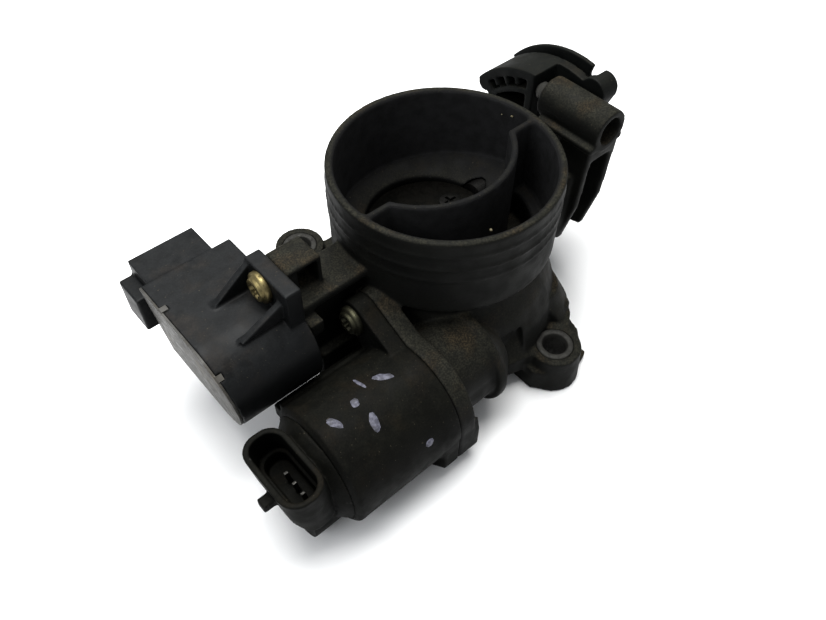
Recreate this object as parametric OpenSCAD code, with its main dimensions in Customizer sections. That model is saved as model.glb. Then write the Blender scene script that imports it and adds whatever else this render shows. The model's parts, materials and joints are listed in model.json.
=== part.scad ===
// Cable-operated throttle body with a throttle position sensor and a rotary idle-air valve.
// Frame: origin at the throat axis on the manifold face, +Z up the intake, +X along the
// throttle shaft towards the cable quadrant, millimetres.

/* [Throat and collar] */
// Radius of the throat
throat_r = 18; // [17.8:0.1:18.2]
// Height of the collar rim above the manifold face
rim_z = 62; // [61:0.5:64]
// Outer radius of the air-duct collar
collar_r = 31; // [30.8:0.1:31.4]
// Wall thickness of the collar
collar_wall = 2.2; // [2:0.1:2.6]
// Distance that the collar axis lies off the throat axis
collar_y = -6; // [-6.2:0.1:-5.8]

/* [Throttle shaft] */
// Height of the shaft axis
shaft_z = 34; // [33.5:0.1:34.5]
// Radius of the shaft
shaft_r = 4; // [3.8:0.1:4]
// Thickness of the throttle plate
plate_t = 1.8; // [1.6:0.1:2]
// Tilt of the closed throttle plate
plate_tilt = 5; // [4:0.5:5]

/* [Cable quadrant] */
// Inner face of the quadrant along the shaft
quad_x = 41.5; // [41.4:0.1:42]
// Radius of the drum
drum_r = 30; // [29.8:0.1:30.2]

/* [Sensor] */
// Mounting face of the sensor along the shaft
sensor_x = -51.4; // [-51.6:0.1:-51.2]
// Length of the sensor body beyond its flange
sensor_len = 20; // [19.5:0.1:20.5]

/* [Idle valve] */
// Radius of the valve motor case
valve_r = 17; // [16.8:0.1:17]
// Distance of the valve axis from the throat axis
valve_y = -33; // [-33.2:0.1:-32.8]
// Height of the valve axis
valve_z = 17.4; // [17.3:0.1:17.6]

/* [Mounting] */
// Radius of the bolt hole in each mounting sleeve
bolt_r = 3.6; // [3.3:0.1:3.8]
// Height of the mounting ears
ear_h = 12; // [11:0.5:13]

/* [Hidden] */
$fn = 56;

black = [0.11, 0.115, 0.11];
case_black = [0.13, 0.14, 0.13];
steel = [0.62, 0.62, 0.6];
gold = [0.75, 0.62, 0.35];

// air-duct collar
inner_r = collar_r - collar_wall;
neck_r = 27.5;
neck_z = 34;
shoulder_z = 38;
funnel_z = 36.3;
funnel_h = 7;
funnel_r = 30;
divider_t = 1.7;
divider_y = -9;
divider_arc_y = 4;
divider_arc_r = 24.9;
pit_floor = 30;

// mounting ears, each [x, y]
ears = [[10.5, -43.9], [-21.8, 36.2], [24, 34]];
ear_r = 8;
sleeve_r = 5.4;

// shaft bearings
bush_r = 5.5;
seal_r = 6.5;
running = 0.04;
boss_half = 11;
boss_r = 9.5;
lever_boss_end = 40.6;
bush_len = 10;
seal_len = 3.5;
bush_s = -36;
bush_l = 26;

// quadrant, along the shaft and by angle
web_x = 51;
rim_x0 = 51;
groove_x = 54;
groove_w = 2;
flange_x = 56;
quad_end = 57.5;
groove_r = 27.5;
flange_r = 30.1;
flange_lift = 1.5;
flange_a0 = 41;
sector_a0 = 38;
sector_a1 = 113;
wide_y = 1.9;
hub_r = 9.5;

// stop-screw boss
stop_x = 44;
stop_z = 58.8;
stop_r = 6;
stop_y0 = -24.4;
stop_y1 = -2.6;

// sensor
sensor_flange_t = 4.4;
sensor_x1 = sensor_x - sensor_flange_t;
sensor_x0 = sensor_x1 - sensor_len;
sensor_top = 47.7;
sensor_round = 13.7;
sensor_round_y = -5;
sensor_back_y = 19.3;
sensor_hole = [-3.5, 52.2];
sensor_far_y = 30;
sensor_lean = 5;
sensor_tabs = [[9.5, 0], [sensor_round_y, 40]];
sensor_pin_x = [sensor_x0 + 5.8, sensor_x0 + 10.3, sensor_x0 + 14.8];

// idle valve, along its axis
valve_face = -33;
valve_flange_t = 5;
valve_case_end = -66;
cap_end = -75;
cap_r = 14.4;
valve_bore = 8.8;
shutter_r = 8.5;
valve_ear = [19, 17.5];
valve_ear_low = [18.6, -11];
valve_ear_r = 5.4;
// plug socket of the valve, in its own leaning frame
socket_at = [-75.3, -34.75, 32];
socket_lean = 8;
socket_half = [5.7, 11.25];
socket_deep = 13.5;
valve_pin_pitch = 3.4;

// a flat outline drawn in Y and Z, extruded along X from x0
module along_x(x0, h)
    translate([x0, 0, 0]) rotate([90, 0, 90]) linear_extrude(h) children();

// a flat outline drawn in X and Z, extruded along Y from y0
module along_y(y0, h)
    translate([0, y0 + h, 0]) rotate([90, 0, 0]) linear_extrude(h) children();

// a round bar along X
module bar_x(x0, x1, r, y = 0, z = shaft_z)
    along_x(x0, x1 - x0) translate([y, z]) circle(r = r, $fn = r < 3 ? 24 : 56);

// a round bar along Y
module bar_y(y0, y1, r, x, z)
    translate([x, y1, z]) rotate([90, 0, 0]) cylinder(r = r, h = y1 - y0, $fn = 40);

// a tube along X
module tube_x(x0, x1, r_out, r_in, y = 0, z = shaft_z)
    along_x(x0, x1 - x0) translate([y, z]) difference() {
        circle(r = r_out);
        circle(r = r_in);
    }

// a rectangle with round corners
module round_box(x0, x1, y0, y1, r) {
    translate([x0 + r, y0]) square([x1 - x0 - 2 * r, y1 - y0]);
    translate([x0, y0 + r]) square([x1 - x0, y1 - y0 - 2 * r]);
    for (x = [x0 + r, x1 - r], y = [y0 + r, y1 - r])
        translate([x, y]) circle(r = r);
}

// a sector from angle a0 to a1, wide enough to cut any disc of the quadrant
module sector(a0, a1, r = 50) {
    steps = 6;
    polygon(concat([[0, 0]],
        [for (i = [0:steps]) let (a = a0 + (a1 - a0) * i / steps) [r * cos(a), r * sin(a)]]));
}

// the part of the collar's inside on the throat side of the divider
module duct_outline() intersection() {
    translate([0, collar_y]) circle(r = inner_r, $fn = 72);
    union() {
        translate([-40, divider_y + divider_t / 2]) square([80, 60]);
        translate([0, divider_arc_y]) circle(r = divider_arc_r - divider_t / 2, $fn = 72);
    }
}

// the crescent on the idle-air side of the divider
module crescent_outline(r) difference() {
    intersection() {
        translate([0, collar_y]) circle(r = r, $fn = 72);
        translate([-40, divider_y - divider_t / 2 - 40]) square([80, 40]);
    }
    translate([0, divider_arc_y]) circle(r = divider_arc_r + divider_t / 2, $fn = 72);
}

module collar_shell() {
    ridge = 0.5;
    translate([0, collar_y, 0]) rotate_extrude($fn = 72) polygon([
        [0, 20], [neck_r, 20], [neck_r, neck_z], [collar_r, shoulder_z],
        [collar_r, rim_z - 13.1], [collar_r + ridge, rim_z - 12.6], [collar_r, rim_z - 12.1],
        [collar_r, rim_z - 9.1], [collar_r + ridge, rim_z - 8.6], [collar_r, rim_z - 8.1],
        [collar_r, rim_z - 4.8], [collar_r + ridge, rim_z - 4.3], [collar_r, rim_z - 3.8],
        [collar_r, rim_z], [0, rim_z]
    ]);
}

// base flange, its ears and the webs between them
module base_flange() {
    flange_t = 8;
    linear_extrude(flange_t) {
        circle(r = 36);
        polygon([[33, -14], [28, -32], [24, -38], [22.6, -43], [19, -47], [3, -48], [0.8, -45], [0, 0]]);
        polygon([
            [-34, 10], [-29, 36], [-20, 40], [-12, 36], [14, 36], [22, 40], [31, 35], [34, 10], [0, 0]
        ]);
    }
    for (e = ears) translate([e[0], e[1], 0]) cylinder(r1 = ear_r + 0.6, r2 = ear_r - 0.3, h = ear_h);
    translate([22.4, -35.2, 0]) cylinder(r = 2.6, h = 14);
    // pointed toe of the foot
    linear_extrude(2.4) polygon([[8.4, -52.2], [22, -48], [21, -40], [10, -40]]);
}

// shoulder that slopes from the collar down to the front ear, with its spot face
module front_shoulder() difference() {
    union() {
        translate([2.5, -27, ear_h - 0.1]) cylinder(r1 = 14.6, r2 = 9.5, h = 7.5);
        translate([15.5, -26, ear_h - 0.1]) cylinder(r1 = 14, r2 = 9.5, h = 8.5);
        translate([0, 0, 6]) linear_extrude(ear_h - 6) polygon([
            [-8, -37], [-5, -40.5], [3, -42.5], [16, -44], [23, -39], [27, -32], [28, -20], [-8, -20]
        ]);
    }
    translate([ears[0][0], ears[0][1], 0]) cylinder(r = ear_r - 0.3, h = 40);
}

// skirt that spreads from the collar's neck to the base
module skirt() translate([0, collar_y, 0]) rotate_extrude($fn = 72) polygon([
    [0, 4], [35.5, 4], [35, 12], [33.4, 20], [31, 26.5], [28.6, 31],
    [neck_r - 0.2, neck_z - 0.4], [0, neck_z - 0.4]
]);

// chamber of the idle valve, closed at its far end
module valve_chamber() {
    bar_x(valve_face, -15, 11.8, valve_y, valve_z);
    bar_x(valve_face, -15, 12.6, valve_y + 1.2, valve_z + 2.6);
    bar_x(-15.5, -13, 13.8, valve_y, valve_z);
    bar_x(-15.5, -13, 14, valve_y + 1.2, valve_z + 1.8);
    translate([-13.1, valve_y, valve_z]) rotate([0, 90, 0]) cylinder(r1 = 13.8, r2 = 9, h = 5.5);
    translate([-7.7, valve_y, valve_z]) rotate([0, 90, 0]) cylinder(r1 = 9, r2 = 3, h = 2);
    along_x(valve_face, 5.2) valve_flange_outline();
    // square foot of the seat
    along_x(valve_face, 7.4) polygon([
        [valve_y - 15.8, valve_z], [valve_y - 17, valve_z - 5], [valve_y - 17, valve_z - 11.8],
        [valve_y - 11.8, 0.4], [valve_y, 0.4]
    ]);
}

// outline shared by the valve's flange and its seat on the housing
module valve_flange_outline() intersection() {
    translate([valve_y, valve_z]) {
        circle(r = valve_r + 0.15);
        for (e = [valve_ear, valve_ear_low]) {
            translate(e) circle(r = valve_ear_r);
            rotate(atan2(e[1], e[0])) translate([13, 0.2 - valve_ear_r])
                square([norm(e) - 13, 2 * valve_ear_r - 0.4]);
        }
        polygon([[0, valve_r], [4, 16.5], [valve_ear[0] - 2.6, valve_ear[1] + 4.6], [12, 8]]);
        polygon([[0, 0], [-valve_r, 0], [-17, -11.8], [-11.8, -17], [0, -17]]);
    }
    translate([valve_y - 30, 0.4]) square([60, 60]);
}

// seat of the sensor: square shaft boss with a ribbed screw block on top
module sensor_seat() {
    difference() {
        translate([sensor_x, -boss_half, shaft_z - 11]) cube([28, boss_half + 2, 23]);
        // relief beside the idle valve's upper ear
        translate([sensor_x + 4.4, -boss_half - 1, shaft_z - 14]) cube([21, 3.7, 23.3]);
    }
    bar_x(sensor_x, -22, 8.4);
    translate([sensor_x, -7.2, shaft_z + 11]) cube([10.2, 9.2, 10.6]);
    // wall under the seat, beside the idle valve
    translate([-47, -boss_half, 12.4]) cube([15, boss_half + 2, 11]);
    translate([sensor_x, -1, shaft_z - 22.5]) cube([9, 9, 14]);
    // locating tab for the sensor's flange
    translate([sensor_x + 0.6, -boss_half - 3, shaft_z + 3.5]) cube([4, 4, 4.5]);
}

// arm that carries the stop-screw boss: two ribs with a web set back between them
module stop_arm() {
    rib = [[-23.8, 56], [-22.8, 33], [-19.2, 18], [-9, 15], [-6, 18], [-13, 30], [-12.6, 56]];
    for (x = [37.4, 47.6]) along_x(x, 2.2) polygon(rib);
    along_x(38, 11) polygon([[-17, 55], [-17, 30], [-13, 16.5], [-9, 15.5], [-14, 30], [-14, 55]]);
    // cross block and ledge under the boss
    along_x(38, 11) polygon([[-24, 56], [-23.6, 50], [-17, 45], [-13, 50], [-13, 56]]);
    translate([36.4, stop_y0, 54.2]) cube([13.4, 20, 1.8]);
    bar_y(stop_y0, stop_y1, stop_r, stop_x, stop_z);
    // walls that tie the arm to the housing
    translate([24, -20, 20]) cube([14, 2.4, 24]);
    translate([24, -15, 13]) cube([14, 9, 6]);
}

module throttle_housing() color(black) difference() {
    union() {
        difference() {
            union() {
                base_flange();
                skirt();
            }
            // clear of the idle valve's case, and the notch beside the front ear
            translate([-60, -60, -1]) cube([60.4 + valve_face, 51, 42]);
            translate([-60, -60, -1]) cube([60.8, 23.5, 24]);
        }
        front_shoulder();
        collar_shell();
        sensor_seat();
        bar_x(20, lever_boss_end, boss_r);
        valve_chamber();
        stop_arm();
    }
    // throat, its funnel and the two spaces of the collar
    translate([0, 0, -1]) cylinder(r = throat_r, h = funnel_z + 2, $fn = 72);
    intersection() {
        translate([0, 0, funnel_z]) cylinder(r1 = throat_r, r2 = funnel_r, h = funnel_h, $fn = 72);
        translate([0, 0, funnel_z - 1]) linear_extrude(10) duct_outline();
    }
    translate([0, 0, funnel_z + funnel_h - 0.01]) linear_extrude(30) duct_outline();
    translate([0, 0, shoulder_z + 1]) linear_extrude(30) crescent_outline(inner_r);
    translate([0, 0, pit_floor]) linear_extrude(12) crescent_outline(neck_r - 2);
    translate([0, collar_y, rim_z - 0.5]) cylinder(r = inner_r, h = 2, $fn = 72);
    // shaft, bearing and seal bores
    bar_x(-60, 60, shaft_r + 0.3);
    bar_x(bush_s, bush_s + bush_len, bush_r);
    bar_x(bush_s - seal_len, bush_s, seal_r);
    bar_x(sensor_x - 1, bush_s - seal_len, seal_r);
    bar_x(bush_l, bush_l + bush_len, bush_r);
    bar_x(bush_l + bush_len, lever_boss_end + 1, seal_r);
    // idle valve bore, its air inlet and its outlet to the throat
    bar_x(valve_face - 1, -9.6, valve_bore, valve_y, valve_z);
    bar_x(valve_face - 1, valve_face + 2.2, 13, valve_y, valve_z);
    translate([-13.5, -24, 20]) cylinder(r = 3.4, h = 14);
    bar_y(-30, -8, 3.4, -13.5, 12);
    // ears, screw holes, stop screw
    for (e = ears) translate([e[0], e[1], -1]) cylinder(r = sleeve_r, h = ear_h + 2);
    bar_x(sensor_x - 1, sensor_x + 4, 2, sensor_hole[0], sensor_hole[1]);
    bar_x(sensor_x - 1, sensor_x + 4, 2, -sensor_hole[0], 2 * shaft_z - sensor_hole[1]);
    for (e = [valve_ear, valve_ear_low])
        bar_x(valve_face - 1, valve_face + 7.5, 2, valve_y + e[0], valve_z + e[1]);
    bar_y(stop_y0 - 1, stop_y1 + 1, 2.5, stop_x, stop_z);
    bar_y(stop_y0 - 1, stop_y0 + 6, 3.9, stop_x, stop_z);
    // pocket in the sensor seat's screw block
    translate([sensor_x + 4.2, -8, shaft_z + 12.8]) cube([4.8, 7, 7.4]);
    translate([sensor_x + 1.2, -8, shaft_z + 12.8]) cube([4, 2.2, 7.4]);
    // seal groove round the throat
    translate([0, 0, -1]) linear_extrude(3) difference() {
        circle(r = 26.4);
        circle(r = 23.4);
    }
}

module mounting_sleeves() color(steel) for (e = ears) translate([e[0], e[1], 0])
    difference() {
        cylinder(r = sleeve_r, h = ear_h);
        translate([0, 0, -1]) cylinder(r = bolt_r, h = ear_h + 2);
    }

module manifold_seal() color([0.1, 0.1, 0.1]) linear_extrude(2) difference() {
    circle(r = 26.4);
    circle(r = 23.4);
}

module idle_stop_screw() color(steel) difference() {
    union() {
        bar_y(stop_y0 + 7, stop_y1 + 3.4, 2.5, stop_x, stop_z);
        bar_y(stop_y1 + 3.4, wide_y - 0.3, 1.8, stop_x, stop_z);
    }
    // hexagon socket
    translate([stop_x, stop_y0 + 9.5, stop_z]) rotate([90, 0, 0]) cylinder(r = 1.45, h = 4, $fn = 6);
}

module bearing_sensor_side() color(gold)
    tube_x(bush_s, bush_s + bush_len, bush_r, shaft_r + running);

module bearing_lever_side() color(gold)
    tube_x(bush_l, bush_l + bush_len, bush_r, shaft_r + running);

module shaft_seals() color([0.08, 0.08, 0.08]) {
    tube_x(bush_s - seal_len, bush_s, seal_r, shaft_r + 0.35);
    tube_x(bush_l + bush_len, bush_l + bush_len + seal_len, seal_r, shaft_r + 0.35);
}

// torsion spring round the lever-side boss: rings of a helix joined into one swept tube
module return_spring() {
    turns = 4;
    per_turn = 24;
    sides = 8;
    wire = 0.8;
    coil_r = 11.4;
    x0 = 32.4;
    pitch = 1.95;
    count = turns * per_turn;
    function ring(i) = let (a = 360 * i / per_turn, x = x0 + pitch * i / per_turn)
        [for (k = [0:sides - 1]) let (t = 360 * k / sides, r = coil_r + wire * cos(t))
            [x + wire * sin(t), r * cos(a), shaft_z + r * sin(a)]];
    points = [for (i = [0:count]) each ring(i)];
    skin = [for (i = [0:count - 1], k = [0:sides - 1])
        let (n = (k + 1) % sides, a = i * sides, b = a + sides) [a + k, b + k, b + n, a + n]];
    caps = [[for (k = [0:sides - 1]) k], [for (k = [0:sides - 1]) count * sides + sides - 1 - k]];
    color(steel) polyhedron(points, concat(skin, caps));
}

// everything that sits on the shaft in the throat is drawn level, then tilted
module tilted() translate([0, 0, shaft_z]) rotate([-plate_tilt, 0, 0]) translate([0, 0, -shaft_z])
    children();

module throttle_shaft() color(steel) difference() {
    union() {
        bar_x(-62, 41.3, shaft_r);
        intersection() {
            bar_x(41.2, quad_end - 1.2, shaft_r);
            translate([41, -5, shaft_z - 3]) cube([20, 10, 6]);
        }
        bar_x(quad_end - 1.3, 65, 2.9);
    }
    // flat that the plate sits on
    tilted() translate([-throat_r, -6, shaft_z]) cube([2 * throat_r, 12, 6]);
    // flats that drive the sensor rotor
    for (s = [-1, 1]) translate([-63, -6, shaft_z + s * 5 - 3]) cube([8, 12, 6]);
    tilted() for (x = [-9, 9]) translate([x, 0, shaft_z - 6]) cylinder(r = 1.7, h = 12);
}

module throttle_plate() color(gold) tilted() difference() {
    translate([0, 0, shaft_z]) cylinder(r = throat_r - 0.3, h = plate_t, $fn = 72);
    for (x = [-9, 9]) translate([x, 0, shaft_z - 1]) cylinder(r = 1.7, h = 5);
}

module plate_screws() color(steel) tilted() for (x = [-9, 9]) translate([x, 0, shaft_z]) {
    translate([0, 0, -3.6]) cylinder(r = 1.7, h = plate_t + 4);
    difference() {
        translate([0, 0, plate_t]) cylinder(r = 3.2, h = 1.9);
        translate([0, 0, plate_t + 1]) linear_extrude(2) {
            square([4, 0.9], center = true);
            square([0.9, 4], center = true);
        }
    }
}

module cable_quadrant() color(black) difference() {
    union() {
        bar_x(quad_x, quad_end - 1.2, hub_r);
        along_x(web_x, 2.2) translate([0, shaft_z]) intersection() {
            circle(r = drum_r - 0.5);
            sector(sector_a0, sector_a1);
        }
        // wide part of the drum with its ribs
        along_x(quad_x, web_x - quad_x + 0.5) translate([0, shaft_z]) {
            intersection() {
                difference() {
                    circle(r = drum_r);
                    circle(r = drum_r - 2.8);
                }
                sector(sector_a0, 90);
                translate([wide_y, 0]) square(60);
            }
            intersection() {
                difference() {
                    circle(r = 24.4);
                    circle(r = 22.6);
                }
                sector(sector_a0, 90);
                translate([wide_y, 0]) square(60);
            }
            rotate(sector_a0) translate([hub_r - 1, 0.2]) square([drum_r - hub_r - 0.5, 3]);
            rotate(sector_a0) translate([drum_r - 2.6, 1]) circle(r = 2.4);
            translate([wide_y, hub_r - 2]) square([2.9, drum_r - hub_r + 1]);
            for (a = [52, 61.5, 71]) rotate(a) translate([drum_r - 5, -0.8]) square([2.6, 1.6]);
        }
        // pulley rim: drum edge, groove and outer flange
        along_x(rim_x0, groove_x - rim_x0) quadrant_rim(drum_r);
        along_x(groove_x - 0.1, groove_w + 0.2) quadrant_rim(groove_r);
        along_x(flange_x, quad_end - flange_x) quadrant_rim(flange_r, flange_lift, flange_a0);
        // hook that holds the cable end
        along_x(rim_x0, quad_end - rim_x0) translate([0, shaft_z]) rotate(112.4) {
            translate([29.4, 0]) circle(r = 4.1);
            translate([20, -2.5]) square([9.4, 6.6]);
        }
    }
    // double-D hole for the shaft
    intersection() {
        bar_x(quad_x - 1, quad_end + 1, shaft_r + 0.02);
        translate([quad_x - 1, -5, shaft_z - 3.02]) cube([20, 10, 6.04]);
    }
    // slot for the cable end
    along_x(groove_x - 0.5, 6.5) translate([0, shaft_z]) rotate(105) {
        translate([29, 0]) circle(r = 1.7);
        translate([29, -1.7]) square([12, 3.4]);
    }
}

// rim ring of the quadrant at one outer radius
module quadrant_rim(r, lift = 0, a0 = sector_a0) translate([0, shaft_z]) intersection() {
    difference() {
        translate([-0.25 * lift, lift]) circle(r = r);
        circle(r = 24.8);
    }
    sector(a0, sector_a1);
}

module quadrant_washer() color(steel) tube_x(quad_end - 1.2, quad_end + 0.4, 7.5, 3);

module quadrant_nut() color(steel) difference() {
    along_x(quad_end + 0.4, 5) translate([0, shaft_z]) circle(r = 5.8, $fn = 6);
    bar_x(quad_end, 66, 2.9);
}

// side outline of the sensor body
module sensor_outline(grow = 0) {
    r = sensor_round - grow;
    translate([sensor_round_y, shaft_z]) circle(r = r);
    translate([sensor_round_y, shaft_z - r]) square([sensor_back_y - grow - sensor_round_y, 2 * r]);
}

// the sensor's screw ears, upper and lower
module sensor_ears() for (s = [-1, 1]) translate([0, shaft_z]) rotate(s < 0 ? 180 : 0)
    translate([-13.5, 0]) square([17, 22.6]);

module sensor_body() color([0.16, 0.18, 0.2]) difference() {
    union() {
        along_x(sensor_x0 - 1.4, sensor_len + 1.5) sensor_outline();
        along_x(sensor_x1, sensor_flange_t) {
            sensor_outline();
            sensor_ears();
        }
        // gussets from the body's top to the upper ear
        for (g = [[-11.4, 52.6], [1.5, 55.8]]) along_y(g[0], 2) polygon([
            [-68, sensor_top - 0.5], [sensor_x1 + 0.1, sensor_top - 0.5], [sensor_x1 + 0.1, g[1]]
        ]);
        // connector shroud and its rail
        translate([sensor_x0 + 1, sensor_back_y - 1, 29])
            cube([18.6, sensor_far_y - sensor_back_y + 1, 17.8]);
        translate([sensor_x0 - 3, 20.2, 31]) cube([4.5, 9.4, 11.5]);
    }
    sensor_end_cut(0.6);
    for (t = sensor_tabs) sensor_tab(t[0], t[1], 0);
    // cavity for the track and rotor, open at the end plate
    bar_x(sensor_x0 - 2, sensor_x1 - 1, 11.6);
    bar_x(sensor_x1 - 2, sensor_x + 1, shaft_r + 0.6);
    // groove of the face seal
    tube_x(sensor_x - 1.2, sensor_x + 1, 8.4, 6.4);
    // connector opening
    translate([sensor_x0 + 2.6, 21.4, 30.6]) cube([15.4, 10, 14.6]);
    bar_x(sensor_x1 - 1, sensor_x + 1, 2.2, sensor_hole[0], sensor_hole[1]);
    bar_x(sensor_x1 - 1, sensor_x + 1, 2.2, -sensor_hole[0], 2 * shaft_z - sensor_hole[1]);
    for (x = sensor_pin_x) translate([x - 0.8, 10, 37.4]) cube([1.6, 13, 0.8]);
}

// everything in front of the sensor's end, which leans by sensor_lean
module sensor_end_cut(depth) translate([sensor_x0 - 1.4 + depth, 0, sensor_top])
    rotate([0, -sensor_lean, 0]) translate([-20, -40, -60]) cube([20, 60, 80]);

// clip tab of the end plate on the sensor body's edge, turned by t about a centre at y
module sensor_tab(y, t, inset) translate([0, y, shaft_z]) rotate([t, 0, 0])
    translate([sensor_x0 - 2, inset - 0.9, sensor_round - 1])
        cube([2.9 - inset, 1.8 - 2 * inset, 1.4 - 3 * inset]);

module sensor_end_plate() color([0.6, 0.58, 0.54]) {
    difference() {
        along_x(sensor_x0 - 1.4, 4) sensor_outline(0.15);
        sensor_end_cut(0);
        translate([0.6, 0, 0]) difference() {
            translate([sensor_x0 - 5, -40, 0]) cube([20, 90, 80]);
            sensor_end_cut(0);
        }
    }
    difference() {
        for (t = sensor_tabs) sensor_tab(t[0], t[1], 0.1);
        sensor_end_cut(0.3);
    }
}

module sensor_track() color([0.3, 0.42, 0.3]) tube_x(sensor_x0 + 2, sensor_x0 + 3.2, 11.5, 2);

module sensor_terminals() color(steel) for (x = sensor_pin_x)
    translate([x - 0.8, 11.8, 37.4]) cube([1.6, 15.4, 0.8]);

module sensor_rotor() color([0.75, 0.75, 0.72]) difference() {
    union() {
        bar_x(sensor_x0 + 6, sensor_x1 - 1.6, 8);
        along_x(sensor_x0 + 3.7, 3) translate([-1.5, shaft_z + 3]) square([3, 6]);
    }
    intersection() {
        bar_x(-66, -40, shaft_r + 0.02);
        translate([-64, -5, shaft_z - 2.02]) cube([9, 10, 4.04]);
    }
    // the round shaft enters the last stretch
    bar_x(-55.1, -40, shaft_r + 0.02);
}

module sensor_seal() color([0.5, 0.25, 0.12]) tube_x(sensor_x - 1.2, sensor_x, 8.4, 6.4);

// pan-head screw along X, its head on the -X side of the face at x0
module pan_screw(x0, y, z, len, r = 2, head_r = 4.2) difference() {
    union() {
        bar_x(x0, x0 + len, r, y, z);
        bar_x(x0 - 1.6, x0, head_r, y, z);
        bar_x(x0 - 2.6, x0 - 1.6, head_r - 1, y, z);
    }
    along_x(x0 - 3, 1.8) translate([y, z]) circle(r = 2, $fn = 6);
}

module sensor_screws() color(gold) {
    pan_screw(sensor_x1, sensor_hole[0], sensor_hole[1], 8.2);
    pan_screw(sensor_x1, -sensor_hole[0], 2 * shaft_z - sensor_hole[1], 8.2);
}

module valve_case() color(case_black) difference() {
    union() {
        bar_x(valve_case_end + 1.2, valve_face, valve_r, valve_y, valve_z);
        translate([valve_case_end, valve_y, valve_z]) rotate([0, 90, 0])
            cylinder(r1 = valve_r - 1.6, r2 = valve_r, h = 1.21);
        along_x(valve_face - valve_flange_t, valve_flange_t) valve_flange_outline();
        // stepped ledge along the side that faces the sensor
        along_x(valve_case_end + 1.2, valve_face - valve_case_end - 2) translate([valve_y + 8, valve_z]) {
            square([7.8, 9.2]);
            square([11.2, 4.9]);
        }
        // spigot that centres the case in the housing
        bar_x(valve_face, valve_face + 2, 12.8, valve_y, valve_z);
    }
    bar_x(valve_case_end - 1, valve_face - 3, 14.6, valve_y, valve_z);
    bar_x(valve_face - 5, valve_face + 3, 6, valve_y, valve_z);
    // O-ring groove in the flange face
    tube_x(valve_face - 1.4, valve_face + 0.01, 15.4, 13.4, valve_y, valve_z);
    for (e = [valve_ear, valve_ear_low])
        bar_x(valve_face - 8, valve_face + 1, 2.2, valve_y + e[0], valve_z + e[1]);
}

// moves children into the frame of the leaning socket
module in_socket() translate(socket_at) rotate([0, -socket_lean, 0]) children();

module socket_outline(inset, r) {
    x = socket_half[0] - inset;
    y = socket_half[1] - inset;
    round_box(-x, x, -y, y, r);
}

module valve_end_cap() color(case_black) difference() {
    union() {
        translate([-69, valve_y, valve_z]) rotate([0, 90, 0])
            cylinder(r1 = cap_r - 2, r2 = cap_r + 0.8, h = 3);
        bar_x(valve_case_end - 0.1, valve_case_end + 3, 14.5, valve_y, valve_z);
        // connector body down the end of the case
        bar_x(cap_end, -67, 9, socket_at[1], 10);
        translate([cap_end, socket_at[1] - 9, 10]) cube([8, 18, 11]);
        in_socket() translate([0, 0, -socket_deep - 2]) linear_extrude(socket_deep + 6)
            socket_outline(0, 5);
        // latch ramp of the plug
        translate([-83.6, -38.6, 25.4]) cube([4, 3, 2.6]);
    }
    translate([-90, -50, socket_at[2]]) cube([30, 30, 10]);
    in_socket() translate([0, 0, -9]) linear_extrude(14) socket_outline(1.5, 3.6);
    in_socket() translate([0, 0, -socket_deep]) linear_extrude(socket_deep) socket_outline(2.5, 2.8);
    // underside of the socket slopes back to the body
    along_y(-50, 30) polygon([[-90, 22], [-80.6, 22], [cap_end, 14], [cap_end, 0], [-90, 0]]);
    bar_x(valve_case_end - 2, valve_case_end + 4, 5, valve_y, valve_z);
    pin_blades(0);
}

// the three contact blades
module pin_blades(tip) in_socket() for (i = [-1:1])
    translate([-0.4, i * valve_pin_pitch - 1.4, -socket_deep - 4]) cube([1.2, 0.8, 4 + tip]);

module valve_pins() color(steel) pin_blades(5);

module valve_stator() color([0.55, 0.3, 0.15])
    tube_x(-62, -37.5, 14.3, 10, valve_y, valve_z);

module valve_bearings() color(steel) {
    tube_x(-36.4, -32.4, 6, 2.04, valve_y, valve_z);
    tube_x(-67.9, -63.2, 5, 2.04, valve_y, valve_z);
}

module valve_seal() color([0.1, 0.1, 0.1])
    tube_x(valve_face - 1.4, valve_face, 15.4, 13.4, valve_y, valve_z);

module valve_screws() color([0.62, 0.6, 0.5]) for (e = [valve_ear, valve_ear_low])
    pan_screw(valve_face - valve_flange_t, valve_y + e[0], valve_z + e[1], 12);

module valve_spindle() color(steel) bar_x(-67.5, -11, 2, valve_y, valve_z);

module valve_magnet() color([0.25, 0.25, 0.27]) tube_x(-60, -39, 9.4, 2, valve_y, valve_z);

// rotary shutter: a drum with one side cut open
module valve_shutter() color(gold) difference() {
    tube_x(-25, -10, shutter_r, 2, valve_y, valve_z);
    translate([-20, valve_y - 4.2, valve_z + 2.8]) cube([14, 20, 12]);
}

throttle_housing();
mounting_sleeves();
manifold_seal();
idle_stop_screw();
bearing_sensor_side();
bearing_lever_side();
shaft_seals();
return_spring();
throttle_shaft();
throttle_plate();
plate_screws();
cable_quadrant();
quadrant_washer();
quadrant_nut();
sensor_body();
sensor_end_plate();
sensor_track();
sensor_terminals();
sensor_rotor();
sensor_seal();
sensor_screws();
valve_case();
valve_end_cap();
valve_pins();
valve_stator();
valve_bearings();
valve_seal();
valve_screws();
valve_spindle();
valve_magnet();
valve_shutter();
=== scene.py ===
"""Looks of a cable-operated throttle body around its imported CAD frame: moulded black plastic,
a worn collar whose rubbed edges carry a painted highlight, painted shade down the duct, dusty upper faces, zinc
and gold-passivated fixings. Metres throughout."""

import json

import bmesh
import bpy
from math import cos, pi, radians, sin
from mathutils import Matrix, Vector, noise


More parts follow.
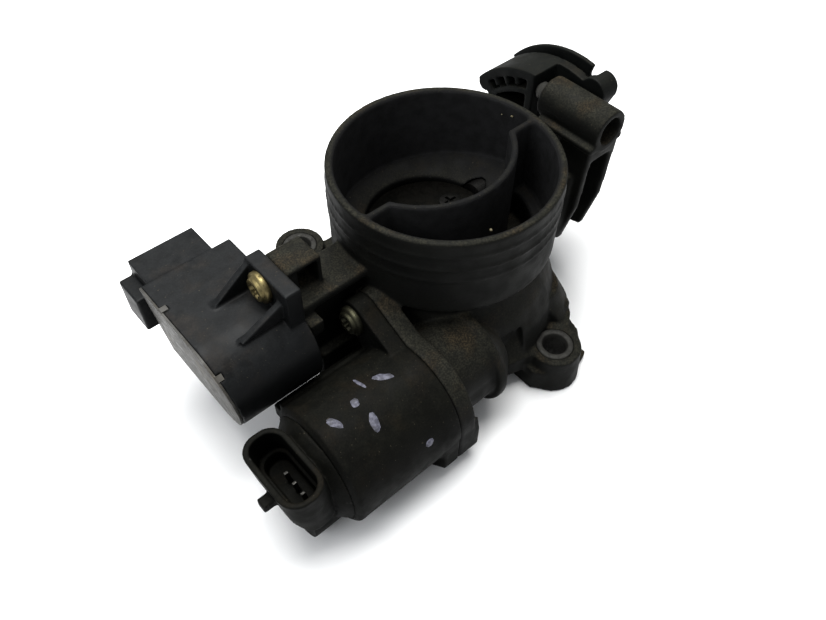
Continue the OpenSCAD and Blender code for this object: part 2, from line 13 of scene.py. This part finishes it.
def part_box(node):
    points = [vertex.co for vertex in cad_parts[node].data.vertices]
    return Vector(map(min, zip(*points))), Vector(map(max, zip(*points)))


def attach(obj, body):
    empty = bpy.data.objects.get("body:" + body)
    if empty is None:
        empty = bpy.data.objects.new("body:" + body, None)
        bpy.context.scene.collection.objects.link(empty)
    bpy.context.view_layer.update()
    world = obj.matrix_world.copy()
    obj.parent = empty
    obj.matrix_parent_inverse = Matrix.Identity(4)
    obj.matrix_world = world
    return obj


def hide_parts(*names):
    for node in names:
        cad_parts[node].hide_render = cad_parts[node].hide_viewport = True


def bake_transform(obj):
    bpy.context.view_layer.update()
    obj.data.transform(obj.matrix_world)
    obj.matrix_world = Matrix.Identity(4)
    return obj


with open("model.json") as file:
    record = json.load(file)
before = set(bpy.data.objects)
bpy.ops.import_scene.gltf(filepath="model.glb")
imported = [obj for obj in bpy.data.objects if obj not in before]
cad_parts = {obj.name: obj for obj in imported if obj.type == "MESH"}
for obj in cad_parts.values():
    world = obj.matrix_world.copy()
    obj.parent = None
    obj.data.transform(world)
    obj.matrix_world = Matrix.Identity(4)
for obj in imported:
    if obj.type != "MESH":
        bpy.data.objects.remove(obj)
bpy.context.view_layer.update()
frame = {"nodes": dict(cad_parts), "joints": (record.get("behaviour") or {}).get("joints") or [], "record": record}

MM = 0.001
NODES = frame["nodes"]

# the two pivots, from the frame
PIVOTS = {joint["name"]: joint["pos_m"] for joint in frame["joints"]}
SHAFT_Z = PIVOTS["throttle_turn"][2]
VALVE_Y, VALVE_Z = PIVOTS["valve_turn"][1:]

# the collar's axis; faces nearer to it than DUCT_R are inside the duct
COLLAR_Y = -6 * MM
DUCT_R = 29 * MM


# ---------------------------------------------------------------- materials

class Shader:
    """A small helper that builds one node material step by step."""

    def __init__(self, name):
        self.material = bpy.data.materials.new(name)
        self.material.use_nodes = True
        self.tree = self.material.node_tree
        self.bsdf = self.tree.nodes["Principled BSDF"]
        self.coords = self.tree.nodes.new("ShaderNodeTexCoord").outputs["Object"]

    def add(self, kind, **settings):
        node = self.tree.nodes.new(kind)
        for key, value in settings.items():
            setattr(node, key, value)
        return node

    def link(self, a, b):
        self.tree.links.new(a, b)

    def noise(self, scale, detail=4.0, stretch=(1, 1, 1), distortion=0.0):
        """A noise value from 0 to 1; scale is in waves per metre."""
        mapping = self.add("ShaderNodeMapping")
        mapping.inputs["Scale"].default_value = stretch
        self.link(self.coords, mapping.inputs["Vector"])
        node = self.add("ShaderNodeTexNoise")
        node.inputs["Scale"].default_value = scale
        node.inputs["Detail"].default_value = detail
        node.inputs["Distortion"].default_value = distortion
        self.link(mapping.outputs[0], node.inputs["Vector"])
        return node.outputs["Fac"]

    def span(self, value, low, high, to_low=0.0, to_high=1.0):
        """Maps low..high of a value to to_low..to_high, smoothly and clamped."""
        node = self.add("ShaderNodeMapRange", interpolation_type="SMOOTHSTEP")
        for key, number in zip(("From Min", "From Max", "To Min", "To Max"), (low, high, to_low, to_high)):
            node.inputs[key].default_value = number
        self.link(value, node.inputs["Value"])
        return node.outputs["Result"]

    def times(self, a, b):
        node = self.add("ShaderNodeMath", operation="MULTIPLY")
        for value, socket in ((a, node.inputs[0]), (b, node.inputs[1])):
            if isinstance(value, (int, float)):
                socket.default_value = value
            else:
                self.link(value, socket)
        return node.outputs[0]

    def plus(self, a, b):
        node = self.add("ShaderNodeMath", operation="ADD", use_clamp=True)
        self.link(a, node.inputs[0])
        self.link(b, node.inputs[1])
        return node.outputs[0]

    def blend(self, a, b, mask):
        """Colour a where the mask is 0, colour b where it is 1."""
        node = self.add("ShaderNodeMix", data_type="RGBA")
        for value, socket in ((a, node.inputs[6]), (b, node.inputs[7])):
            if isinstance(value, tuple):
                socket.default_value = (*value, 1)
            else:
                self.link(value, socket)
        self.link(mask, node.inputs[0])
        return node.outputs[2]

    def upward(self, low, high):
        """How far a face looks up, from the geometry's own normal."""
        split = self.add("ShaderNodeSeparateXYZ")
        self.link(self.add("ShaderNodeNewGeometry").outputs["Normal"], split.inputs[0])
        return self.span(split.outputs["Z"], low, high)

    def in_duct(self):
        """1 on the faces inside the collar and the throat, 0 outside."""
        split = self.add("ShaderNodeSeparateXYZ")
        self.link(self.coords, split.inputs[0])
        across = self.add("ShaderNodeCombineXYZ")
        self.link(split.outputs["X"], across.inputs["X"])
        shifted = self.add("ShaderNodeMath", operation="SUBTRACT")
        shifted.inputs[1].default_value = COLLAR_Y
        self.link(split.outputs["Y"], shifted.inputs[0])
        self.link(shifted.outputs[0], across.inputs["Y"])
        radius = self.add("ShaderNodeVectorMath", operation="LENGTH")
        self.link(across.outputs[0], radius.inputs[0])
        inside = self.span(radius.outputs["Value"], DUCT_R, DUCT_R + MM, 1.0, 0.0)
        return self.times(inside, self.span(split.outputs["Z"], SHAFT_Z, SHAFT_Z + 6 * MM))

    def edges(self):
        """Bright on convex edges, where a part is rubbed and where it carries a painted highlight."""
        return self.span(self.add("ShaderNodeNewGeometry").outputs["Pointiness"], 0.535, 0.64)

    def finish(self, colour, roughness, height, depth, strength):
        self.link(colour, self.bsdf.inputs["Base Color"])
        self.link(roughness, self.bsdf.inputs["Roughness"])
        bump = self.add("ShaderNodeBump")
        bump.inputs["Strength"].default_value = strength
        bump.inputs["Distance"].default_value = depth
        self.link(height, bump.inputs["Height"])
        self.link(bump.outputs["Normal"], self.bsdf.inputs["Normal"])
        return self.material


WARM_TINT = (1.5, 1.22, 1.0)  # drifted dust over the even film of dust
# painted shade: the duct's upward faces are darkened by this factor against its walls, for the shade down the bore
DUCT_UPWARD_SHADE = 0.36  # upward faces in the duct over its walls
SAND = (0.11, 0.095, 0.065)
GRIME = (0.012, 0.011, 0.009)


def moulded(
    name, dark, light, dust, dust_amount, rough=(0.5, 0.68), wear_and_highlight=(0.045, 0.045, 0.042), duct=None,
    gritty=0.7, sheen=0.10,
):
    """Glass-filled black plastic: fine grain, dust on upper faces and in the duct with painted shade on the duct's
    upward faces, rubbed edges with a painted highlight.
    """
    s = Shader(name)
    colour = s.blend(dark, light, s.span(s.noise(90, 6), 0.3, 0.7))
    film = s.span(s.noise(420, 8, distortion=0.3), 0.22, 0.74, 0.35, 1.0)
    grain = s.span(s.noise(2300, 4), 0.38, 0.64, 1 - gritty, 1.0)
    dust_mask = s.times(s.times(s.upward(0.15, 0.97), s.times(film, grain)), dust_amount)
    warm_dust = tuple(c * k for c, k in zip(dust, WARM_TINT))
    drift = s.blend(dust, warm_dust, s.span(s.noise(130, 5), 0.48, 0.68))
    colour = s.blend(colour, drift, dust_mask)
    if duct:
        # painted shade: inside the duct the upward faces are darker than the walls, for the shade the bore's
        # floors lie in
        duct_colour_and_shade = s.blend(duct, tuple(c * DUCT_UPWARD_SHADE for c in duct), s.upward(0.2, 0.8))
        colour = s.blend(colour, duct_colour_and_shade, s.times(s.in_duct(), s.span(s.noise(300, 6), 0.25, 0.7, 0.6, 1.0)))
    specks = s.times(s.times(s.upward(0.0, 0.6), s.span(s.noise(1900, 2), 0.70, 0.76)), 0.45)
    colour = s.blend(colour, SAND, specks)
    # convex upward edges lighter: wear, and a painted highlight where the rims catch the light
    rubbed_and_highlight = s.times(s.times(s.edges(), s.span(s.noise(260, 4), 0.3, 0.65)), s.upward(0.08, 0.35))
    colour = s.blend(colour, wear_and_highlight, rubbed_and_highlight)
    roughness = s.plus(s.span(s.noise(210, 6), 0.3, 0.7, *rough), s.times(dust_mask, 0.3))
    height = s.plus(s.times(s.noise(1700, 3), 0.6), s.times(s.noise(520, 3), 0.4))
    s.bsdf.inputs["Specular IOR Level"].default_value = sheen
    return s.finish(colour, roughness, height, 0.00020 * gritty, 0.6)


def metal(name, base, tarnish, rough=(0.28, 0.5), brushed=(1, 1, 1), dirt=0.4, metallic=0.92):
    """Plated or ground metal with tarnish patches, fine brushing and grime in between."""
    s = Shader(name)
    colour = s.blend(base, tarnish, s.span(s.noise(240, 6, distortion=0.3), 0.38, 0.68))
    grime = s.times(s.span(s.noise(620, 5), 0.5, 0.72), dirt)
    colour = s.blend(colour, GRIME, grime)
    roughness = s.plus(s.span(s.noise(1500, 4, brushed), 0.3, 0.7, *rough), s.times(grime, 0.4))
    s.bsdf.inputs["Metallic"].default_value = metallic
    return s.finish(colour, roughness, s.noise(2200, 4, brushed), 0.00006, 0.35)


def rubber(name, dark, light):
    s = Shader(name)
    colour = s.blend(dark, light, s.span(s.noise(300, 5), 0.35, 0.7))
    s.bsdf.inputs["Specular IOR Level"].default_value = 0.3
    return s.finish(colour, s.span(s.noise(500, 4), 0.3, 0.7, 0.6, 0.85), s.noise(1800, 4), 0.0001, 0.4)


def matt(name, dark, light, scale, rough=(0.5, 0.75), depth=0.0001, stained=(0.12, 0.09, 0.05), stain=0.3):
    """Plain solid such as resin, board, paint or grit, with stains."""
    s = Shader(name)
    colour = s.blend(dark, light, s.span(s.noise(scale, 6, distortion=0.5), 0.32, 0.7))
    colour = s.blend(colour, stained, s.times(s.span(s.noise(scale * 0.4, 5), 0.5, 0.75), stain))
    roughness = s.span(s.noise(scale * 2, 4), 0.3, 0.7, *rough)
    return s.finish(colour, roughness, s.noise(scale * 5, 4), depth, 0.5)


OLIVE_DUST = (0.056, 0.054, 0.041)

FINISH = {
    "housing_plastic": moulded(
        "housing_plastic", (0.0042, 0.0044, 0.0040), (0.0072, 0.0075, 0.0063), OLIVE_DUST, 0.66,
        duct=(0.030, 0.030, 0.031)),
    "quadrant_plastic": moulded(
        "quadrant_plastic", (0.0045, 0.0052, 0.0049), (0.0075, 0.0086, 0.0080), OLIVE_DUST, 0.18,
        gritty=0.4),
    # painted reflection: the sensor's colours, its dust too, lean blue for the bluish sheen reflected along its
    # round top
    "sensor_plastic": moulded(
        "sensor_plastic", (0.0048, 0.0052, 0.0056), (0.0080, 0.0087, 0.0093), (0.038, 0.040, 0.041), 0.42,
        (0.36, 0.50), (0.06, 0.06, 0.062), gritty=0.35, sheen=0.15),
    "valve_plastic": moulded(
        "valve_plastic", (0.0027, 0.0029, 0.0025), (0.0046, 0.0048, 0.0039), OLIVE_DUST, 0.15, gritty=0.5,
        sheen=0.07),
    "rotor_plastic": matt("rotor_plastic", (0.42, 0.41, 0.37), (0.55, 0.54, 0.50), 240),
    "potting_resin": matt("potting_resin", (0.030, 0.029, 0.026), (0.075, 0.072, 0.065), 260, (0.45, 0.65)),
    "track_board": matt("track_board", (0.03, 0.07, 0.035), (0.06, 0.12, 0.06), 300),
    "seal_rubber": rubber("seal_rubber", (0.010, 0.010, 0.010), (0.022, 0.022, 0.021)),
    "zinc_steel": metal(
        "zinc_steel", (0.042, 0.041, 0.036), (0.022, 0.021, 0.018), (0.55, 0.75), metallic=0.3),
    # painted shade: the steel shaft is near black for the shade it lies in down the bore
    "shaft_steel": metal(
        "shaft_steel", (0.016, 0.0155, 0.015), (0.009, 0.009, 0.008), (0.5, 0.7), (1, 12, 12)),
    "spring_steel": metal("spring_steel", (0.12, 0.12, 0.12), (0.06, 0.057, 0.05), (0.35, 0.55)),
    "gold_zinc_steel": metal(
        "gold_zinc_steel", (0.24, 0.20, 0.10), (0.11, 0.09, 0.05), (0.36, 0.55), dirt=0.55),
    "tinned_contact": metal(
        "tinned_contact", (0.06, 0.059, 0.056), (0.03, 0.029, 0.026), (0.3, 0.5), dirt=0.3),
    "magnet_ferrite": metal("magnet_ferrite", (0.06, 0.06, 0.062), (0.04, 0.038, 0.036), (0.5, 0.7)),
    "copper_winding": metal(
        "copper_winding", (0.34, 0.13, 0.055), (0.20, 0.07, 0.03), (0.3, 0.5), (40, 1, 1)),
    # painted shade and soot: the brass plate is near black, for its soot and for the shade it lies in down the
    # bore
    "plate_brass": metal("plate_brass", (0.012, 0.011, 0.009), (0.006, 0.006, 0.005), (0.5, 0.7), dirt=0.2),
    "bronze": metal("bronze", (0.32, 0.22, 0.10), (0.20, 0.13, 0.06), (0.4, 0.6)),
    "shutter_aluminium": metal(
        "shutter_aluminium", (0.42, 0.42, 0.42), (0.28, 0.28, 0.27), (0.3, 0.5), (1, 9, 9)),
}
DULL_SCREW = metal("dull_screw", (0.085, 0.083, 0.055), (0.045, 0.044, 0.031), (0.42, 0.6), dirt=0.5)
MARKER_PAINT = matt(
    "marker_paint", (0.05, 0.05, 0.068), (0.135, 0.135, 0.17), 900,
    stained=(0.015, 0.015, 0.015), stain=1.0)
GRIT = matt("grit", (0.10, 0.085, 0.045), (0.17, 0.15, 0.10), 1500)


def paint(obj, material):
    obj.data.materials.clear()
    obj.data.materials.append(material)


# ---------------------------------------------------------------- CAD nodes: finish and edge rounding

def weld(obj):
    modifier = obj.modifiers.new("weld", "WELD")
    modifier.merge_threshold = 0.000002


def melt(obj, voxel, rounds):
    """Rounds every edge and fills every sharp corner a little, as a moulding tool does."""
    weld(obj)
    remesh = obj.modifiers.new("remesh", "REMESH")
    remesh.mode = "VOXEL"
    remesh.voxel_size = voxel
    remesh.use_smooth_shade = True
    smooth = obj.modifiers.new("smooth", "SMOOTH")
    smooth.factor = 0.5
    smooth.iterations = rounds


def bevel(obj, width):
    """Breaks the sharp edges of a turned or stamped part."""
    weld(obj)
    for polygon in obj.data.polygons:
        polygon.use_smooth = True
    modifier = obj.modifiers.new("bevel", "BEVEL")
    modifier.width = width
    modifier.segments = 2
    modifier.limit_method = "ANGLE"
    modifier.angle_limit = radians(32)
    modifier.harden_normals = True


for subpart in frame["record"]["subparts"]:
    paint(NODES[subpart["node"]], FINISH[subpart["material_slot"]])

MELTED = {  # voxel size in millimetres, smoothing rounds
    "throttle_housing": (0.46, 7),
    "cable_quadrant": (0.30, 7),
    "sensor_body": (0.30, 9),
    "valve_case": (0.36, 5),
    "valve_end_cap": (0.30, 6),
}
BEVELLED = {  # width in millimetres
    "mounting_sleeves": 0.35,
    "idle_stop_screw": 0.2,
    "throttle_plate": 0.25,
    "quadrant_washer": 0.2,
    "quadrant_nut": 0.35,
    "sensor_end_plate": 0.3,
    "valve_pins": 0.12,
    "sensor_terminals": 0.12,
    "throttle_shaft": 0.15,
    "plate_screws": 0.2,
}

COARSE = 1
for name, (voxel, rounds) in MELTED.items():
    melt(NODES[name], voxel * MM * COARSE, rounds)
for name, width in BEVELLED.items():
    bevel(NODES[name], width * MM)


# ---------------------------------------------------------------- modelled pieces

def add_object(name, data):
    obj = bpy.data.objects.new(name, data)
    bpy.context.scene.collection.objects.link(obj)
    return obj


def place(name, mesh, material, body):
    """One smooth mesh object with its one material, riding on a CAD body if one is named."""
    obj = add_object(name, mesh)
    for polygon in mesh.polygons:
        polygon.use_smooth = True
    paint(obj, material)
    if body:
        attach(obj, body)
    return obj


def piece(name, vertices, faces, material, body, slot):
    """A placed object made of these faces, turned to look outwards."""
    mesh = bpy.data.meshes.new(name)
    mesh.from_pydata(vertices, [], faces)
    mesh.validate()
    work = bmesh.new()
    work.from_mesh(mesh)
    bmesh.ops.recalc_face_normals(work, faces=work.faces)
    work.to_mesh(mesh)
    work.free()
    return place(name, mesh, material, body)


def loft(rings):
    """Vertices and faces of a closed skin over rings that all have the same number of points."""
    count = len(rings[0])
    vertices = [p for ring in rings for p in ring]
    faces = []
    for i in range(len(rings) - 1):
        for k in range(count):
            n = (k + 1) % count
            faces.append((i * count + k, i * count + n, (i + 1) * count + n, (i + 1) * count + k))
    faces.append(tuple(range(count - 1, -1, -1)))
    faces.append(tuple(range((len(rings) - 1) * count, len(rings) * count)))
    return vertices, faces


HEAD_HEIGHT = 2.6  # millimetres, of the pan heads


def screw_centres(node):
    """Centres in Y and Z of the upper and the lower screw of a CAD node, from its vertices."""
    points = [(v.co.y, v.co.z) for v in NODES[node].data.vertices]
    split = sum(z for y, z in points) / len(points)
    centres = []
    for group in ([p for p in points if p[1] > split], [p for p in points if p[1] <= split]):
        ys, zs = zip(*group)
        centres.append(((min(ys) + max(ys)) / 2, (min(zs) + max(zs)) / 2))
    return centres


def torx_screws(node, length, material):
    """Pan-head screws along X with a six-lobed recess in place of a CAD node's; heads look towards -X."""
    around = 60
    seat_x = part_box(node)[0].x + HEAD_HEIGHT * MM
    profile = [  # (radius, distance in front of the seat), millimetres
        (2.0, -length), (2.0, -0.2), (2.05, -0.02), (4.05, -0.02), (4.2, 0.15), (4.2, 1.1), (4.05, 1.45),
        (3.45, 1.62), (3.3, 1.75), (3.2, 2.2), (3.0, 2.48), (2.7, 2.58),
    ]
    recess = [  # (radius, distance in front of the seat, height of the lobes), millimetres
        (2.0, HEAD_HEIGHT, 0.24), (1.88, 2.48, 0.26), (1.8, 1.1, 0.26), (0.9, 0.8, 0.0),
    ]
    vertices, faces = [], []
    for y, z in screw_centres(node):
        def ring(radius, front, lobes=0.0):
            points = []
            for a in (2 * pi * k / around for k in range(around)):
                r = (radius + lobes * cos(6 * a)) * MM
                points.append(Vector((seat_x - front * MM, y + r * cos(a), z + r * sin(a))))
            return points

        rings = [ring(*row) for row in profile + recess]
        screw_vertices, screw_faces = loft(rings)
        faces += [tuple(i + len(vertices) for i in face) for face in screw_faces]
        vertices += screw_vertices
    obj = piece(node + "_torx", vertices, faces, material, "housing", "gold_zinc_steel")
    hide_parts(node)


torx_screws("sensor_screws", 8.2, FINISH["gold_zinc_steel"])
torx_screws("valve_screws", 12, DULL_SCREW)


def return_spring():
    """Round-wire torsion spring between the housing and the quadrant, with its two end legs."""
    low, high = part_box("return_spring")
    wire_r = 0.8 * MM
    coil_r = (high.z - low.z) / 2 - wire_r
    turns, per_turn, sides = 4, 40, 12
    start, end = low.x + wire_r, high.x - wire_r
    steps = turns * per_turn
    coil = []
    for i in range(steps + 1):
        a = radians(90) + 2 * pi * i / per_turn
        coil.append(Vector((start + (end - start) * i / steps, coil_r * cos(a), SHAFT_Z + coil_r * sin(a))))
    first_leg = coil[0] + Vector((-0.2, 2.2, 0.1)) * MM
    last_leg = coil[-1] + Vector((0.5, -2.2, 0.0)) * MM
    path = [first_leg, *coil, last_leg]
    turn = [2 * pi * k / sides for k in range(sides)]
    rings = []
    for i, p in enumerate(path):
        along = (path[min(i + 1, len(path) - 1)] - path[max(i - 1, 0)]).normalized()
        side = along.cross(Vector((1, 0, 0))).normalized()
        up = along.cross(side)
        rings.append([p + wire_r * (cos(t) * side + sin(t) * up) for t in turn])
    obj = piece("return_spring_coil", *loft(rings), FINISH["spring_steel"], None, "spring_steel")
    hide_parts("return_spring")
    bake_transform(obj)


return_spring()


def marker_dabs():
    """Six plain separate dabs of worn paint on top of the idle valve's case, of no meaning."""
    case_wall = 2.8 * MM
    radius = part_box("valve_stator")[1].z - VALVE_Z + case_wall
    thickness, sunk, raggedness = 0.13, 0.05, 0.22
    # x, degrees from the top towards -Y, half length along x, half length around, turn in degrees;
    # lengths in millimetres
    dabs = [
        (-43.6, -2.5, 2.7, 0.95, 35), (-49.0, -11.0, 2.3, 0.5, 80), (-53.3, 2.0, 1.0, 1.3, 20),
        (-60.3, 6.0, 2.2, 1.0, 62), (-52.6, 24.0, 1.1, 2.4, 15), (-42.9, 68.0, 1.3, 1.0, 0),
    ]
    rounds, steps = 4, 28
    vertices, faces = [], []
    for number, (x, degrees, half_x, half_y, turn) in enumerate(dabs):
        base = len(vertices)
        for i in range(rounds + 1):
            reach = i / rounds
            lift = (thickness * (1 - reach ** 4) - sunk) * MM
            for k in range(steps):
                a = 2 * pi * k / steps
                ragged = 1 + raggedness * noise.noise(Vector((2 * cos(a), 2 * sin(a), number * 3.7)))
                u, v = half_x * reach * ragged * cos(a), half_y * reach * ragged * sin(a)
                along = u * cos(radians(turn)) - v * sin(radians(turn))
                around = u * sin(radians(turn)) + v * cos(radians(turn))
                angle = radians(degrees) + around * MM / radius
                r = radius + lift
                y, z = VALVE_Y - r * sin(angle), VALVE_Z + r * cos(angle)
                vertices.append(Vector(((x + along) * MM, y, z)))
        for i in range(rounds):
            for k in range(steps):
                n = (k + 1) % steps
                q = base + i * steps
                faces.append((q + k, q + n, q + steps + n, q + steps + k))
    piece("marker_dabs", vertices, faces, MARKER_PAINT, "housing", "valve_plastic")


marker_dabs()


def grit():
    """Three crumbs of sand inside the collar; they stand 0.1 to 2.2 mm clear of its wall."""
    # x, y, z and radius, millimetres
    spots = [(28.0, -2.6, 59.2, 0.42), (-8.4, -30.8, 60.3, 0.40), (27.2, 0.4, 58.6, 0.22)]
    lumpiness, lumps_per_metre, flatness = 0.5, 1600, 0.7
    work = bmesh.new()
    for number, (x, y, z, size) in enumerate(spots):
        crumb = bmesh.ops.create_icosphere(work, subdivisions=2, radius=size * MM)
        for v in crumb["verts"]:
            v.co *= 1 + lumpiness * noise.noise(v.co * lumps_per_metre + Vector((number * 5.1, 0, 0)))
            v.co.z *= flatness
            v.co += Vector((x, y, z)) * MM
    mesh = bpy.data.meshes.new("grit")
    work.to_mesh(mesh)
    work.free()
    place("grit", mesh, GRIT, "housing")


grit()


# ---------------------------------------------------------------- stage, light and camera

def area(name, spot, aim, size, watts, colour):
    light = bpy.data.lights.new(name, "AREA")
    light.shape = "RECTANGLE"
    light.size, light.size_y = size
    light.energy = watts
    light.color = colour
    obj = add_object(name, light)
    obj.location = spot
    obj.rotation_euler = (Vector(aim) - Vector(spot)).to_track_quat("-Z", "Y").to_euler()


def stage():
    mesh = bpy.data.meshes.new("floor")
    half = 4.0
    corners = [(-half, -half, 0), (half, -half, 0), (half, half, 0), (-half, half, 0)]
    mesh.from_pydata(corners, [], [(0, 1, 2, 3)])
    floor = add_object("floor", mesh)
    floor.location.z = -0.2 * MM
    s = Shader("pale_floor")
    colour = s.blend((0.86, 0.86, 0.86), (0.88, 0.88, 0.88), s.noise(3, 2))
    paint(floor, s.finish(colour, s.span(s.noise(5, 2), 0.3, 0.7, 0.85, 0.9), s.noise(40, 2), 0.0001, 0.05))

    world = bpy.data.worlds.new("soft_room")
    bpy.context.scene.world = world
    world.use_nodes = True
    background = world.node_tree.nodes["Background"]
    background.inputs["Color"].default_value = (0.96, 0.98, 1.0, 1)
    background.inputs["Strength"].default_value = 0.50

    centre = (-0.01, -0.01, 0.03)
    area("overhead", (0.06, 0.16, 0.90), centre, (0.7, 0.7), 15.0, (1.0, 1.0, 0.99))
    area("left_fill", (-0.75, -0.05, 0.60), centre, (0.4, 0.4), 3.0, (0.95, 0.97, 1.0))


def camera():
    """Stands where the reference view was taken from: azimuth, elevation, roll and distance."""
    azimuth, elevation, roll = radians(-41.9), radians(50.91), radians(0.78)
    back = Vector((sin(azimuth) * cos(elevation), -cos(azimuth) * cos(elevation), sin(elevation)))
    right = Vector((0, 0, 1)).cross(back).normalized()
    up = back.cross(right)
    right, up = cos(roll) * right + sin(roll) * up, -sin(roll) * right + cos(roll) * up
    data = bpy.data.cameras.new("camera")
    data.sensor_width = 36
    data.lens = 33.0
    data.clip_start = 0.01
    obj = add_object("camera", data)
    matrix = Matrix((right, up, back)).transposed().to_4x4()
    matrix.translation = Vector((-107.1, -113.6, 187.0)) * MM
    obj.matrix_world = matrix
    bpy.context.scene.camera = obj


stage()
camera()
bpy.context.scene.view_settings.view_transform = "Standard"
bpy.context.scene.view_settings.gamma = 0.84
